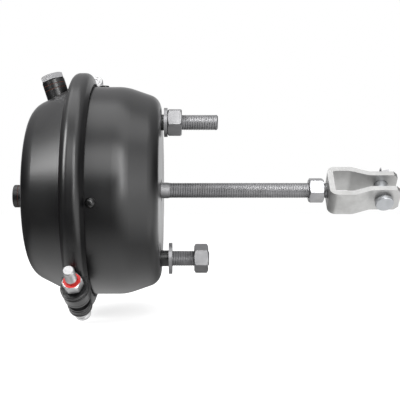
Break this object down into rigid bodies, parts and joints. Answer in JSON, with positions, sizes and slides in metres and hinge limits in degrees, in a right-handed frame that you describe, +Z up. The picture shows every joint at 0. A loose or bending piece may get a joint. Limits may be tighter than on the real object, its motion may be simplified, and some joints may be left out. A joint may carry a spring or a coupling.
{
  "type": "air brake chamber",
  "caption": "Single-diaphragm service air brake chamber with a two-piece clamp band, air ports, mounting studs, threaded push rod and clevis with its pin.",
  "frame": {"origin": "centre of the flat mounting face, on the push rod's axis", "axes": "+X along the push rod towards the clevis, +Z up along the line of the two mounting studs, -Y towards the side that shows the front clamp bolt"},
  "size_m": [0.3402, 0.2082, 0.2168],
  "materials": {
    "black_paint": "satin black paint",
    "zinc_plate": "dull zinc plate",
    "plain_steel": "plain pressed steel",
    "diaphragm_rubber": "moulded fabric-reinforced rubber",
    "guide_plastic": "moulded nylon",
    "vent_plastic": "black moulded plastic",
    "spring_steel": "coated spring steel",
    "clevis_steel": "light warm grey zinc plate",
    "pin_zinc": "bluish zinc plate"
  },
  "bodies": {
    "chamber": {"pressure_housing": "black_paint", "non_pressure_housing": "black_paint", "clamp_band_upper": "black_paint", "clamp_band_lower": "black_paint", "clamp_bolt_front": "zinc_plate", "clamp_bolt_rear": "zinc_plate", "clamp_nut_front": "zinc_plate", "clamp_nut_rear": "zinc_plate", "clamp_washer_front": "black_paint", "clamp_washer_rear": "black_paint", "axial_port_boss": "black_paint", "side_port_boss": "black_paint", "side_port_plug": "zinc_plate", "diaphragm": "diaphragm_rubber", "reinforcement_plate": "plain_steel", "mounting_stud_upper": "zinc_plate", "mounting_stud_lower": "zinc_plate", "mounting_washer_upper": "zinc_plate", "mounting_washer_lower": "zinc_plate", "mounting_nut_upper": "zinc_plate", "mounting_nut_lower": "zinc_plate", "rod_guide": "guide_plastic", "vent_plug_front": "vent_plastic", "vent_plug_top": "vent_plastic", "return_spring": "spring_steel"},
    "pushrod": {"pushrod": "zinc_plate", "push_plate": "plain_steel", "jam_nut": "zinc_plate", "clevis": "clevis_steel"},
    "clevis_pin": {"clevis_pin": "pin_zinc", "cotter_pin": "zinc_plate"}
  },
  "joints": [
    {"name": "pushrod_slide", "type": "slide", "parent": "chamber", "child": "pushrod", "axis": [1, 0, 0], "range_m": [0, 0.0635], "stiffness_N_per_m": 1500, "springref_m": -0.06, "deforming": ["return_spring", "diaphragm"]},
    {"name": "clevis_pin_turn", "type": "hinge", "parent": "pushrod", "child": "clevis_pin", "pos_m": [0.1955, 0, 0], "axis": [0, -0.7071, -0.7071], "continuous": true}
  ]
}
